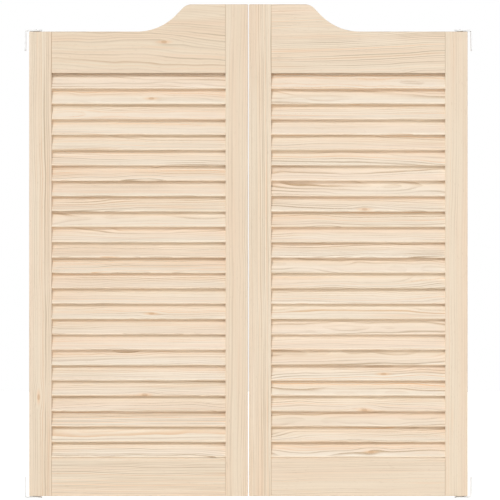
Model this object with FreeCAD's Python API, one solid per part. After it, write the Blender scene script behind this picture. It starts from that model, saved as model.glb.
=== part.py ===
import FreeCAD, Part
import math
import os

# A pair of louvred cafe swinging doors on spring pivots.
# X runs across the opening, left door on -X. Y runs through the doors, front at -Y. Z is up.
# The origin is on the floor plane of the lower brackets, under the middle of the meeting gap.
# The left side is modelled, and the right side is its mirror image in the plane X = 0.
# Lengths are in millimetres and angles in degrees.

# Door leaf
DOOR_WIDTH = 474.5
DOOR_HEIGHT = 1067.0
DOOR_THICKNESS = 28.5
MEETING_GAP = 2.0
STILE_WIDTH = 48.6
SHOULDER_DROP = 59.2
TOP_RAIL_HEIGHT = 149.3
BOTTOM_RAIL_HEIGHT = 83.0
SILL_BEVEL_HEIGHT = 5.5
EDGE_EASE = 1.5
JOINT_EASE = 0.8

# Swept top edge, from the meeting side: a level crest, a round crest, a straight ramp and a hollow
CREST_LENGTH = 73.1
CREST_RADIUS = 28.0
RAMP_LENGTH = 20.8
HOLLOW_RADIUS = 117.0

# Louvres, from the front lower edge up to the back upper edge
LOUVRE_PITCH_AIM = 33.3
LOUVRE_GROUPS = ("top", "upper", "middle", "lower", "bottom")
LOUVRE_THICKNESS = 6.35
LOUVRE_TILT = 30.0
LOUVRE_SETBACK = 2.0
LOUVRE_SILL_GAP = 0.6
LOUVRE_HEAD_DROP = 1.4
LOUVRE_SLOT_DEPTH = 9.5
LOUVRE_END_GAP = 0.5
LOUVRE_CLEARANCE = 0.15

# Dowels between rails and stiles
DOWEL_DIAMETER = 10.0
DOWEL_DEPTH_IN_RAIL = 28.0
DOWEL_TO_PIVOT_TUBE = 3.5
DOWEL_END_GAP = 1.0
DOWEL_CLEARANCE = 0.05
DOWEL_EDGE_DISTANCE = 25.0

# Jamb brackets
PIVOT_INSET = 16.0
SWING_CLEARANCE = 1.6
BRACKET_THICKNESS = 3.0
BRACKET_WIDTH = 24.0
BRACKET_LEG_HEIGHT = 46.0
BRACKET_BEND_RADIUS = 2.0
BRACKET_CORNER_RADIUS = 5.0
BRACKET_HOLE_DIAMETER = 4.5
BRACKET_HOLE_LOW = 15.0
BRACKET_HOLE_TO_END = 11.0
BRACKET_SINK_DEPTH = 2.0

# Lower spring pivot
THRUST_WASHER_THICKNESS = 1.5
THRUST_WASHER_DIAMETER = 18.0
SPINDLE_DIAMETER = 8.0
SPINDLE_NECK_DIAMETER = 6.0
SPINDLE_END_DEPTH = 2.0
LOWER_TUBE_WALL = 1.5
LOWER_BUSH_LENGTH = 10.0
GUIDE_BUSH_LENGTH = 12.0
RETURN_WIRE_DIAMETER = 2.0
RETURN_COIL_CLEARANCE = 0.25
RETURN_COIL_TURNS = 12.5
RETURN_COIL_PITCH = 2.2
RETURN_TANG_CLEARANCE = 0.1

# Upper latch pivot
UPPER_BUSH_GAP = 0.3
UPPER_BUSH_FLANGE_DIAMETER = 14.0
UPPER_BUSH_FLANGE_THICKNESS = 1.0
UPPER_BUSH_BODY_DIAMETER = 9.5
PIN_DIAMETER = 6.0
PIN_TIP_PROUD = 1.2
PIN_COLLAR_DIAMETER = 9.0
PIN_COLLAR_LENGTH = 4.0
PIN_TAIL_DIAMETER = 5.0
PIN_TAIL_LENGTH = 12.0
PIN_TIP_CHAMFER = 0.8
UPPER_TUBE_WALL = 2.4
UPPER_TUBE_LENGTH = 36.0
UPPER_TUBE_FLOOR = 2.0
PIN_WIRE_DIAMETER = 0.9
PIN_COIL_TURNS = 9.0

# Flush plates of the pivots, let into the stile ends, and their screws
PLATE_WIDTH = 20.0
PLATE_THICKNESS = 2.0
PLATE_CORNER_RADIUS = 4.0
PLATE_EDGE_MARGIN = 3.5
PLATE_CLEARANCE = 0.2
TUBE_END_GAP = 1.0
SCREW_LENGTH = 16.0
SCREW_DIAMETER = 3.5
SCREW_HEAD_DIAMETER = 7.0
SCREW_POINT_LENGTH = 3.0
SCREW_SPACE = 9.5
SCREW_RECESS_WIDTH = 0.9
SCREW_RECESS_SPAN = 3.6
SCREW_RECESS_DEPTH = 1.1

# Fits
RUNNING_CLEARANCE = 0.08
SEAT_CLEARANCE = 0.05
SPRING_SEAT_GAP = 0.2

# How closely an edge is compared with a plane or a direction
TOLERANCE = 1e-6

# Places worked out from the sizes above
HALF_THICKNESS = DOOR_THICKNESS / 2
DOOR_INNER_X = -MEETING_GAP / 2
DOOR_OUTER_X = DOOR_INNER_X - DOOR_WIDTH
OUTER_JOINT_X = DOOR_OUTER_X + STILE_WIDTH
INNER_JOINT_X = DOOR_INNER_X - STILE_WIDTH
PIVOT_X = DOOR_OUTER_X + PIVOT_INSET
LEG_FACE_X = PIVOT_X - math.hypot(PIVOT_INSET, HALF_THICKNESS) - SWING_CLEARANCE
JAMB_X = LEG_FACE_X - BRACKET_THICKNESS
DOOR_BOTTOM_Z = BRACKET_THICKNESS + THRUST_WASHER_THICKNESS
DOOR_TOP_Z = DOOR_BOTTOM_Z + DOOR_HEIGHT
SHOULDER_Z = DOOR_TOP_Z - SHOULDER_DROP
FIELD_BOTTOM_Z = DOOR_BOTTOM_Z + BOTTOM_RAIL_HEIGHT
FIELD_TOP_Z = DOOR_TOP_Z - TOP_RAIL_HEIGHT

# Louvres fill the field at the nearest even pitch, a little wider open under the top rail
LOUVRE_SPAN = FIELD_TOP_Z - LOUVRE_HEAD_DROP - FIELD_BOTTOM_Z
LOUVRE_COUNT = round(LOUVRE_SPAN / LOUVRE_PITCH_AIM)
LOUVRE_PITCH = LOUVRE_SPAN / LOUVRE_COUNT

# Lower pivot, from the stile's bottom up: bush, coil, guide bush
SPINDLE_BORE = SPINDLE_DIAMETER + 2 * RUNNING_CLEARANCE
RETURN_COIL_DIAMETER = SPINDLE_DIAMETER + RETURN_WIRE_DIAMETER + 2 * RETURN_COIL_CLEARANCE
LOWER_TUBE_BORE = RETURN_COIL_DIAMETER + RETURN_WIRE_DIAMETER + 2 * RETURN_COIL_CLEARANCE
LOWER_TUBE_DIAMETER = LOWER_TUBE_BORE + 2 * LOWER_TUBE_WALL
LOWER_BUSH_TOP_Z = DOOR_BOTTOM_Z + LOWER_BUSH_LENGTH
RETURN_COIL_LOW_Z = LOWER_BUSH_TOP_Z + SPRING_SEAT_GAP + RETURN_WIRE_DIAMETER / 2
RETURN_COIL_HIGH_Z = RETURN_COIL_LOW_Z + RETURN_COIL_PITCH * RETURN_COIL_TURNS
GUIDE_BUSH_LOW_Z = RETURN_COIL_HIGH_Z + RETURN_WIRE_DIAMETER / 2 + SPRING_SEAT_GAP
LOWER_TUBE_TOP_Z = GUIDE_BUSH_LOW_Z + GUIDE_BUSH_LENGTH
SPINDLE_TOP_Z = LOWER_TUBE_TOP_Z - SPINDLE_END_DEPTH

# Upper pivot, from the bracket's arm down
PIN_BORE = PIN_DIAMETER + 2 * RUNNING_CLEARANCE
UPPER_TUBE_BORE = PIN_COLLAR_DIAMETER + 2 * RUNNING_CLEARANCE
UPPER_TUBE_DIAMETER = UPPER_TUBE_BORE + 2 * UPPER_TUBE_WALL
PIN_COIL_DIAMETER = (PIN_TAIL_DIAMETER + UPPER_TUBE_BORE) / 2
UPPER_ARM_Z = SHOULDER_Z + UPPER_BUSH_GAP + UPPER_BUSH_FLANGE_THICKNESS
UPPER_ARM_TOP_Z = UPPER_ARM_Z + BRACKET_THICKNESS
PIN_TIP_Z = UPPER_ARM_TOP_Z + PIN_TIP_PROUD
COLLAR_TOP_Z = SHOULDER_Z - PLATE_THICKNESS
COLLAR_BOTTOM_Z = COLLAR_TOP_Z - PIN_COLLAR_LENGTH
PIN_SPRING_FLOOR_Z = SHOULDER_Z - UPPER_TUBE_LENGTH + UPPER_TUBE_FLOOR

# Dowels stop short of the lower pivot's tube
DOWEL_DEPTH_IN_STILE = STILE_WIDTH - PIVOT_INSET - LOWER_TUBE_DIAMETER / 2 - DOWEL_TO_PIVOT_TUBE
DOWEL_LENGTH = DOWEL_DEPTH_IN_STILE + DOWEL_DEPTH_IN_RAIL

# Plates span the stile's end, and their screws share what is left beside the tube
PLATE_LENGTH = STILE_WIDTH - 2 * PLATE_EDGE_MARGIN
SCREW_ZONE_START = PIVOT_INSET + LOWER_TUBE_DIAMETER / 2
SCREW_ZONE = STILE_WIDTH - PLATE_EDGE_MARGIN - SCREW_ZONE_START
SCREW_COUNT = int(SCREW_ZONE // SCREW_SPACE)


def vector(x, y, z):
    return FreeCAD.Vector(x, y, z)


def box(x_low, x_high, y_low, y_high, z_low, z_high):
    corner = vector(x_low, y_low, z_low)
    return Part.makeBox(x_high - x_low, y_high - y_low, z_high - z_low, corner)


def post(diameter, z_low, z_high):
    """Upright cylinder on the pivot axis."""
    return Part.makeCylinder(diameter / 2, z_high - z_low, vector(PIVOT_X, 0, z_low))


def ring(outer_diameter, bore_diameter, z_low, z_high):
    """Upright tube on the pivot axis."""
    return post(outer_diameter, z_low, z_high).cut(post(bore_diameter, z_low, z_high))


def closed_face(edges):
    return Part.Face(Part.Wire(Part.__sortEdges__(edges)))


def rounded_rectangle(width, height, radius):
    """Flat face centred on the origin in the XY plane, with all four corners rounded."""
    blank = box(-width / 2, width / 2, -height / 2, height / 2, 0, 1)
    corners = [edge for edge in blank.Edges if is_along(edge, vector(0, 0, 1))]
    rounded = blank.makeFillet(radius, corners)
    return min(rounded.Faces, key=lambda face: face.CenterOfMass.z)


def is_along(edge, direction):
    span = edge.Vertexes[-1].Point.sub(edge.Vertexes[0].Point)
    return abs(abs(span.dot(direction)) - edge.Length) < TOLERANCE


def lies_within(edge, axis, low, high):
    """True where the whole edge lies from low to high on the given axis."""
    bounds = edge.BoundBox
    edge_low = getattr(bounds, axis + "Min")
    edge_high = getattr(bounds, axis + "Max")
    return edge_low > low - TOLERANCE and edge_high < high + TOLERANCE


# Stiles

def stile(outer_x, inner_x, top_z):
    """Upright board. outer_x is its free edge, and inner_x the edge that the rails butt against."""
    low_x = min(outer_x, inner_x)
    high_x = max(outer_x, inner_x)
    board = box(low_x, high_x, -HALF_THICKNESS, HALF_THICKNESS, DOOR_BOTTOM_Z, top_z)
    eased = [edge for edge in board.Edges if not lies_within(edge, "X", inner_x, inner_x)]
    board = board.makeFillet(EDGE_EASE, eased)
    beside_rails = [
        edge for edge in board.Edges
        if lies_within(edge, "X", inner_x, inner_x) and is_along(edge, vector(0, 0, 1))
    ]
    return board.makeChamfer(JOINT_EASE, beside_rails)


def outer_stile():
    board = stile(DOOR_OUTER_X, OUTER_JOINT_X, SHOULDER_Z)
    slots = louvre_bars(OUTER_JOINT_X - LOUVRE_SLOT_DEPTH, OUTER_JOINT_X, LOUVRE_CLEARANCE)
    cavities = slots + stile_bores(OUTER_JOINT_X, -1)
    lower_tube_length = LOWER_TUBE_TOP_Z - DOOR_BOTTOM_Z
    cavities += plate_cavities(DOOR_BOTTOM_Z, 1, LOWER_TUBE_DIAMETER, lower_tube_length)
    cavities += plate_cavities(SHOULDER_Z, -1, UPPER_TUBE_DIAMETER, UPPER_TUBE_LENGTH)
    return board.cut(cavities)


def inner_stile():
    board = stile(DOOR_INNER_X, INNER_JOINT_X, DOOR_TOP_Z)
    slots = louvre_bars(INNER_JOINT_X, INNER_JOINT_X + LOUVRE_SLOT_DEPTH, LOUVRE_CLEARANCE)
    return board.cut(slots + stile_bores(INNER_JOINT_X, 1))


# Rails

def ramp_angle():
    """Slope at which the crest, the ramp and the hollow together drop to the shoulder."""
    radii = CREST_RADIUS + HOLLOW_RADIUS
    reach = math.hypot(radii, RAMP_LENGTH)
    return math.acos((radii - SHOULDER_DROP) / reach) - math.atan2(RAMP_LENGTH, radii)


def swept_top_edges():
    """The top rail's upper outline in the middle plane, from the meeting side to the pivot side."""
    angle = ramp_angle()
    crest_x = INNER_JOINT_X - CREST_LENGTH
    ramp_top = vector(
        crest_x - CREST_RADIUS * math.sin(angle), 0, DOOR_TOP_Z - CREST_RADIUS * (1 - math.cos(angle)))
    ramp_bottom = vector(
        ramp_top.x - RAMP_LENGTH * math.cos(angle), 0, ramp_top.z - RAMP_LENGTH * math.sin(angle))
    hollow_end_x = ramp_bottom.x - HOLLOW_RADIUS * math.sin(angle)
    half_sine = math.sin(angle / 2)
    half_drop = 1 - math.cos(angle / 2)
    crest_middle = vector(crest_x - CREST_RADIUS * half_sine, 0, DOOR_TOP_Z - CREST_RADIUS * half_drop)
    hollow_middle = vector(
        hollow_end_x + HOLLOW_RADIUS * half_sine, 0, SHOULDER_Z + HOLLOW_RADIUS * half_drop)
    meeting_end = vector(INNER_JOINT_X, 0, DOOR_TOP_Z)
    crest_start = vector(crest_x, 0, DOOR_TOP_Z)
    hollow_end = vector(hollow_end_x, 0, SHOULDER_Z)
    pivot_end = vector(OUTER_JOINT_X, 0, SHOULDER_Z)
    return [
        Part.LineSegment(meeting_end, crest_start).toShape(),
        Part.Arc(crest_start, crest_middle, ramp_top).toShape(),
        Part.LineSegment(ramp_top, ramp_bottom).toShape(),
        Part.Arc(ramp_bottom, hollow_middle, hollow_end).toShape(),
        Part.LineSegment(hollow_end, pivot_end).toShape(),
    ]


def top_rail():
    meeting_top = vector(INNER_JOINT_X, 0, DOOR_TOP_Z)
    pivot_top = vector(OUTER_JOINT_X, 0, SHOULDER_Z)
    meeting_bottom = vector(INNER_JOINT_X, 0, FIELD_TOP_Z)
    pivot_bottom = vector(OUTER_JOINT_X, 0, FIELD_TOP_Z)
    outline = swept_top_edges()
    outline.append(Part.LineSegment(pivot_top, pivot_bottom).toShape())
    outline.append(Part.LineSegment(pivot_bottom, meeting_bottom).toShape())
    outline.append(Part.LineSegment(meeting_bottom, meeting_top).toShape())
    face = closed_face(outline)
    face.translate(vector(0, -HALF_THICKNESS, 0))
    board = face.extrude(vector(0, DOOR_THICKNESS, 0))
    upper_edges = [
        edge for edge in board.Edges
        if lies_within(edge, "Z", SHOULDER_Z, DOOR_TOP_Z) and is_on_door_face(edge)
        and not is_along(edge, vector(0, 0, 1))
    ]
    board = board.makeFillet(EDGE_EASE, upper_edges)
    lower_edges = [
        edge for edge in board.Edges
        if lies_within(edge, "Z", FIELD_TOP_Z, FIELD_TOP_Z) and is_on_door_face(edge)
    ]
    board = board.makeFillet(JOINT_EASE, lower_edges)
    groove = louvre_bar(OUTER_JOINT_X, INNER_JOINT_X, 0, LOUVRE_CLEARANCE)
    return board.cut([groove] + rail_bores(top_dowel_heights()))


def is_on_door_face(edge):
    front = lies_within(edge, "Y", -HALF_THICKNESS, -HALF_THICKNESS)
    back = lies_within(edge, "Y", HALF_THICKNESS, HALF_THICKNESS)
    return front or back


def bottom_rail():
    """Board whose upper front edge is bevelled along the louvres' slope."""
    bevel_depth = SILL_BEVEL_HEIGHT * math.tan(math.radians(LOUVRE_TILT))
    corners = [
        vector(OUTER_JOINT_X, -HALF_THICKNESS, DOOR_BOTTOM_Z),
        vector(OUTER_JOINT_X, HALF_THICKNESS, DOOR_BOTTOM_Z),
        vector(OUTER_JOINT_X, HALF_THICKNESS, FIELD_BOTTOM_Z),
        vector(OUTER_JOINT_X, -HALF_THICKNESS + bevel_depth, FIELD_BOTTOM_Z),
        vector(OUTER_JOINT_X, -HALF_THICKNESS, FIELD_BOTTOM_Z - SILL_BEVEL_HEIGHT),
    ]
    section = Part.Face(Part.makePolygon(corners + corners[:1]))
    board = section.extrude(vector(INNER_JOINT_X - OUTER_JOINT_X, 0, 0))
    long_edges = [edge for edge in board.Edges if is_along(edge, vector(1, 0, 0))]
    lower_edges = [edge for edge in long_edges if lies_within(edge, "Z", DOOR_BOTTOM_Z, DOOR_BOTTOM_Z)]
    board = board.makeFillet(EDGE_EASE, lower_edges)
    back_edges = [
        edge for edge in board.Edges
        if is_along(edge, vector(1, 0, 0)) and lies_within(edge, "Z", FIELD_BOTTOM_Z, FIELD_BOTTOM_Z)
        and lies_within(edge, "Y", HALF_THICKNESS, HALF_THICKNESS)
    ]
    board = board.makeFillet(JOINT_EASE, back_edges)
    return board.cut(rail_bores(bottom_dowel_heights()))


# Louvres

def louvre_bar(x_low, x_high, index, grow):
    """Slat with full-round edges, tilted; index 0 is the top one. grow widens it all round."""
    radius = LOUVRE_THICKNESS / 2
    reach = HALF_THICKNESS - LOUVRE_SETBACK - radius
    rise = 2 * reach / math.tan(math.radians(LOUVRE_TILT))
    nose_z = FIELD_BOTTOM_Z + LOUVRE_SILL_GAP + (LOUVRE_COUNT - 1 - index) * LOUVRE_PITCH
    nose = vector(x_low, -reach, nose_z + radius)
    tail = vector(x_low, reach, nose_z + radius + rise)
    along = tail.sub(nose)
    along.normalize()
    along.multiply(radius + grow)
    across = vector(0, -along.z, along.y)
    nose_front = nose.add(across)
    nose_back = nose.sub(across)
    tail_front = tail.add(across)
    tail_back = tail.sub(across)
    section = closed_face([
        Part.Arc(nose_front, nose.sub(along), nose_back).toShape(),
        Part.LineSegment(nose_back, tail_back).toShape(),
        Part.Arc(tail_back, tail.add(along), tail_front).toShape(),
        Part.LineSegment(tail_front, nose_front).toShape(),
    ])
    return section.extrude(vector(x_high - x_low, 0, 0))


def louvre_bars(x_low, x_high, grow):
    return [louvre_bar(x_low, x_high, index, grow) for index in range(LOUVRE_COUNT)]


def louvre_groups():
    """The slats in as many groups as there are names, from the top down."""
    end_depth = LOUVRE_SLOT_DEPTH - LOUVRE_END_GAP
    slats = louvre_bars(OUTER_JOINT_X - end_depth, INNER_JOINT_X + end_depth, 0)
    groups = {}
    for place, name in enumerate(LOUVRE_GROUPS):
        first = place * LOUVRE_COUNT // len(LOUVRE_GROUPS)
        last = (place + 1) * LOUVRE_COUNT // len(LOUVRE_GROUPS)
        groups["louvres_" + name] = Part.makeCompound(slats[first:last])
    return groups


# Dowels

def bottom_dowel_heights():
    return [DOOR_BOTTOM_Z + DOWEL_EDGE_DISTANCE, FIELD_BOTTOM_Z - DOWEL_EDGE_DISTANCE]


def top_dowel_heights():
    return [FIELD_TOP_Z + DOWEL_EDGE_DISTANCE, SHOULDER_Z - DOWEL_EDGE_DISTANCE]


def level_pin(diameter, length, x, z, side):
    """Cylinder from x along X, to the side that the sign gives."""
    return Part.makeCylinder(diameter / 2, length, vector(x, 0, z), vector(side, 0, 0))


def rail_bores(heights):
    """Dowel bores in both ends of a rail."""
    diameter = DOWEL_DIAMETER + 2 * DOWEL_CLEARANCE
    depth = DOWEL_DEPTH_IN_RAIL + DOWEL_END_GAP
    bores = [level_pin(diameter, depth, OUTER_JOINT_X, z, 1) for z in heights]
    return bores + [level_pin(diameter, depth, INNER_JOINT_X, z, -1) for z in heights]


def stile_bores(joint_x, side):
    """Dowel bores in a stile's edge, at both rails."""
    diameter = DOWEL_DIAMETER + 2 * DOWEL_CLEARANCE
    depth = DOWEL_DEPTH_IN_STILE + DOWEL_END_GAP
    heights = bottom_dowel_heights() + top_dowel_heights()
    return [level_pin(diameter, depth, joint_x, z, side) for z in heights]


def dowels():
    outer_start = OUTER_JOINT_X - DOWEL_DEPTH_IN_STILE
    inner_start = INNER_JOINT_X + DOWEL_DEPTH_IN_STILE
    pins = []
    for z in bottom_dowel_heights() + top_dowel_heights():
        pins.append(level_pin(DOWEL_DIAMETER, DOWEL_LENGTH, outer_start, z, 1))
        pins.append(level_pin(DOWEL_DIAMETER, DOWEL_LENGTH, inner_start, z, -1))
    return Part.makeCompound(pins)


# Flush pivot plates and their screws. up is 1 at the stile's bottom and -1 at its shoulder:
# the direction from the stile's end into the wood.

def end_slab(face_z, depth, up, outline):
    """A flat outline in the XY plane, thickened from face_z into the wood."""
    slab = outline.copy()
    slab.translate(vector(0, 0, face_z - outline.BoundBox.ZMin))
    return slab.extrude(vector(0, 0, up * depth))


def plate_outline(grow):
    outline = rounded_rectangle(PLATE_LENGTH + 2 * grow, PLATE_WIDTH + 2 * grow, PLATE_CORNER_RADIUS + grow)
    outline.translate(vector(DOOR_OUTER_X + PLATE_EDGE_MARGIN + PLATE_LENGTH / 2, 0, 0))
    return outline


def end_cylinder(diameter, x, face_z, start, length, up):
    """Cylinder that starts a given depth inside the stile's end and runs on into the wood."""
    base = vector(x, 0, face_z + up * start)
    return Part.makeCylinder(diameter / 2, length, base, vector(0, 0, up))


def screw_places():
    space = SCREW_ZONE / SCREW_COUNT
    first = DOOR_OUTER_X + SCREW_ZONE_START + space / 2
    return [first + space * place for place in range(SCREW_COUNT)]


def screw_body(x, face_z, up, grow):
    """Countersunk screw without its recess, from the plate's face into the wood."""
    head_depth = (SCREW_HEAD_DIAMETER - SCREW_DIAMETER) / 2
    head = Part.makeCone(
        SCREW_HEAD_DIAMETER / 2 + grow, SCREW_DIAMETER / 2 + grow, head_depth,
        vector(x, 0, face_z), vector(0, 0, up))
    shank_length = SCREW_LENGTH - head_depth - SCREW_POINT_LENGTH
    shank = end_cylinder(SCREW_DIAMETER + 2 * grow, x, face_z, head_depth, shank_length, up)
    point = Part.makeCone(
        SCREW_DIAMETER / 2 + grow, grow, SCREW_POINT_LENGTH + grow,
        vector(x, 0, face_z + up * (SCREW_LENGTH - SCREW_POINT_LENGTH)), vector(0, 0, up))
    return head.fuse([shank, point]).removeSplitter()


def plate_screws(face_z, up):
    screws = []
    for x in screw_places():
        depth = sorted((face_z, face_z + up * SCREW_RECESS_DEPTH))
        half_span = SCREW_RECESS_SPAN / 2
        half_width = SCREW_RECESS_WIDTH / 2
        recess = [
            box(x - half_span, x + half_span, -half_width, half_width, depth[0], depth[1]),
            box(x - half_width, x + half_width, -half_span, half_span, depth[0], depth[1]),
        ]
        screws.append(screw_body(x, face_z, up, 0).cut(recess))
    return Part.makeCompound(screws)


def plate_cavities(face_z, up, tube_diameter, tube_length):
    """What a stile's end loses for a flush plate, its tube and its screws."""
    mortise = end_slab(face_z, PLATE_THICKNESS, up, plate_outline(PLATE_CLEARANCE))
    bore = end_cylinder(
        tube_diameter + 2 * SEAT_CLEARANCE, PIVOT_X, face_z, 0, tube_length + TUBE_END_GAP, up)
    pilots = [screw_body(x, face_z, up, SEAT_CLEARANCE) for x in screw_places()]
    return [mortise, bore] + pilots


def pivot_housing(face_z, up, tube_diameter, tube_length):
    """Flush plate with a solid stub in place of its tube, before boring."""
    plate = end_slab(face_z, PLATE_THICKNESS, up, plate_outline(0))
    tube = end_cylinder(tube_diameter, PIVOT_X, face_z, 0, tube_length, up)
    holes = [screw_body(x, face_z, up, SEAT_CLEARANCE) for x in screw_places()]
    return plate.fuse(tube).removeSplitter().cut(holes)


# Springs

def coil(wire_diameter, coil_diameter, turns, z_low, height):
    """Round wire wound on the pivot axis. height is from first to last wire centre."""
    helix = Part.makeHelix(height / turns, height, coil_diameter / 2)
    section = Part.Wire(Part.Circle(
        vector(coil_diameter / 2, 0, 0), vector(0, 1, 0), wire_diameter / 2).toShape())
    wire = Part.Wire(helix.Edges).makePipeShell([section], True, True)
    wire.translate(vector(PIVOT_X, 0, z_low))
    return wire


# Lower spring pivot

def lower_spring_housing():
    solid = pivot_housing(DOOR_BOTTOM_Z, 1, LOWER_TUBE_DIAMETER, LOWER_TUBE_TOP_Z - DOOR_BOTTOM_Z)
    bore = post(LOWER_TUBE_BORE, DOOR_BOTTOM_Z, LOWER_TUBE_TOP_Z)
    tang_diameter = RETURN_WIRE_DIAMETER + 2 * RETURN_TANG_CLEARANCE
    tang_hole = level_pin(tang_diameter, LOWER_TUBE_DIAMETER, PIVOT_X, RETURN_COIL_LOW_Z, 1)
    return solid.cut([bore, tang_hole])


def lower_bush():
    return ring(LOWER_TUBE_BORE - 2 * SEAT_CLEARANCE, SPINDLE_BORE, DOOR_BOTTOM_Z, LOWER_BUSH_TOP_Z)


def guide_bush():
    return ring(LOWER_TUBE_BORE - 2 * SEAT_CLEARANCE, SPINDLE_BORE, GUIDE_BUSH_LOW_Z, LOWER_TUBE_TOP_Z)


def return_spring():
    """Torsion spring: its lower tang sits in the housing and its upper one in the spindle's slot."""
    height = RETURN_COIL_HIGH_Z - RETURN_COIL_LOW_Z
    body = coil(RETURN_WIRE_DIAMETER, RETURN_COIL_DIAMETER, RETURN_COIL_TURNS, RETURN_COIL_LOW_Z, height)
    radius = RETURN_COIL_DIAMETER / 2
    reach = LOWER_TUBE_DIAMETER / 2 - SEAT_CLEARANCE - radius
    housing_tang = level_pin(RETURN_WIRE_DIAMETER, reach, PIVOT_X + radius, RETURN_COIL_LOW_Z, 1)
    spindle_tang = level_pin(RETURN_WIRE_DIAMETER, radius, PIVOT_X - radius, RETURN_COIL_HIGH_Z, 1)
    return body.fuse([housing_tang, spindle_tang])


def lower_spindle():
    """Post riveted into the bracket, with a slot across its top for the spring's tang."""
    neck = post(SPINDLE_NECK_DIAMETER, 0, BRACKET_THICKNESS)
    body = post(SPINDLE_DIAMETER, BRACKET_THICKNESS, SPINDLE_TOP_Z)
    half_slot = RETURN_WIRE_DIAMETER / 2 + RETURN_TANG_CLEARANCE
    slot = box(
        PIVOT_X - SPINDLE_DIAMETER, PIVOT_X + SPINDLE_DIAMETER, -half_slot, half_slot,
        RETURN_COIL_HIGH_Z - half_slot, SPINDLE_TOP_Z)
    return neck.fuse(body).cut(slot)


def thrust_washer():
    return ring(THRUST_WASHER_DIAMETER, SPINDLE_BORE, BRACKET_THICKNESS, DOOR_BOTTOM_Z)


# Upper latch pivot

def upper_pin_housing():
    solid = pivot_housing(SHOULDER_Z, -1, UPPER_TUBE_DIAMETER, UPPER_TUBE_LENGTH)
    bore = post(UPPER_TUBE_BORE, PIN_SPRING_FLOOR_Z, COLLAR_TOP_Z)
    mouth = post(PIN_BORE, COLLAR_TOP_Z, SHOULDER_Z)
    return solid.cut([bore, mouth])


def top_pin():
    """Plunger that latches the door into the upper bracket and is pushed down to free it."""
    chamfer_z = PIN_TIP_Z - PIN_TIP_CHAMFER
    shaft = post(PIN_DIAMETER, COLLAR_TOP_Z, chamfer_z)
    tip = Part.makeCone(
        PIN_DIAMETER / 2, PIN_DIAMETER / 2 - PIN_TIP_CHAMFER, PIN_TIP_CHAMFER, vector(PIVOT_X, 0, chamfer_z))
    collar = post(PIN_COLLAR_DIAMETER, COLLAR_BOTTOM_Z, COLLAR_TOP_Z)
    tail = post(PIN_TAIL_DIAMETER, COLLAR_BOTTOM_Z - PIN_TAIL_LENGTH, COLLAR_BOTTOM_Z)
    return shaft.fuse([tip, collar, tail])


def pin_spring():
    low = PIN_SPRING_FLOOR_Z + PIN_WIRE_DIAMETER / 2
    high = COLLAR_BOTTOM_Z - SPRING_SEAT_GAP - PIN_WIRE_DIAMETER / 2
    return coil(PIN_WIRE_DIAMETER, PIN_COIL_DIAMETER, PIN_COIL_TURNS, low, high - low)


def upper_bush():
    """Flanged bush that hangs in the bracket's arm and takes the pin."""
    flange_z = UPPER_ARM_Z - UPPER_BUSH_FLANGE_THICKNESS
    flange = post(UPPER_BUSH_FLANGE_DIAMETER, flange_z, UPPER_ARM_Z)
    body = post(UPPER_BUSH_BODY_DIAMETER, UPPER_ARM_Z, UPPER_ARM_TOP_Z)
    return flange.fuse(body).cut(post(PIN_BORE, flange_z, UPPER_ARM_TOP_Z))


# Jamb brackets

def bent_block(x_low, z_low, bend_radius):
    """Block over the bracket's arm, from x_low and z_low up, with its heel rounded."""
    half_width = BRACKET_WIDTH / 2
    block = box(x_low, PIVOT_X + half_width, -half_width, half_width, z_low, BRACKET_LEG_HEIGHT)
    heel = [
        edge for edge in block.Edges
        if lies_within(edge, "X", x_low, x_low) and lies_within(edge, "Z", z_low, z_low)
    ]
    return block.makeFillet(bend_radius, heel)


def jamb_screw_holes():
    """Holes through the leg, countersunk from the door's side."""
    radius = BRACKET_HOLE_DIAMETER / 2
    holes = []
    for z in (BRACKET_HOLE_LOW, BRACKET_LEG_HEIGHT - BRACKET_HOLE_TO_END):
        holes.append(level_pin(BRACKET_HOLE_DIAMETER, BRACKET_THICKNESS, JAMB_X, z, 1))
        holes.append(Part.makeCone(
            radius + BRACKET_SINK_DEPTH, radius, BRACKET_SINK_DEPTH,
            vector(LEG_FACE_X, 0, z), vector(-1, 0, 0)))
    return holes


def bracket(arm_hole_diameter):
    """Bent plate standing on z = 0: an arm with a round end under the pivot and a leg up the jamb."""
    outside = bent_block(JAMB_X, 0, BRACKET_BEND_RADIUS + BRACKET_THICKNESS)
    plate = outside.cut(bent_block(LEG_FACE_X, BRACKET_THICKNESS, BRACKET_BEND_RADIUS))
    half_width = BRACKET_WIDTH / 2
    square_end = box(PIVOT_X, PIVOT_X + half_width, -half_width, half_width, 0, BRACKET_THICKNESS)
    plate = plate.cut(square_end.cut(post(BRACKET_WIDTH, 0, BRACKET_THICKNESS)))
    leg_corners = [
        edge for edge in plate.Edges
        if is_along(edge, vector(1, 0, 0))
        and lies_within(edge, "Z", BRACKET_LEG_HEIGHT, BRACKET_LEG_HEIGHT)
    ]
    plate = plate.makeFillet(BRACKET_CORNER_RADIUS, leg_corners)
    return plate.cut([post(arm_hole_diameter, 0, BRACKET_THICKNESS)] + jamb_screw_holes())


def lower_bracket():
    return bracket(SPINDLE_NECK_DIAMETER + 2 * SEAT_CLEARANCE)


def upper_bracket():
    """The lower bracket's stamping turned over, with a larger hole for the bush."""
    plate = bracket(UPPER_BUSH_BODY_DIAMETER + 2 * SEAT_CLEARANCE)
    plate = plate.mirror(vector(0, 0, 0), vector(0, 0, 1))
    plate.translate(vector(0, 0, UPPER_ARM_TOP_Z))
    return plate


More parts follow.
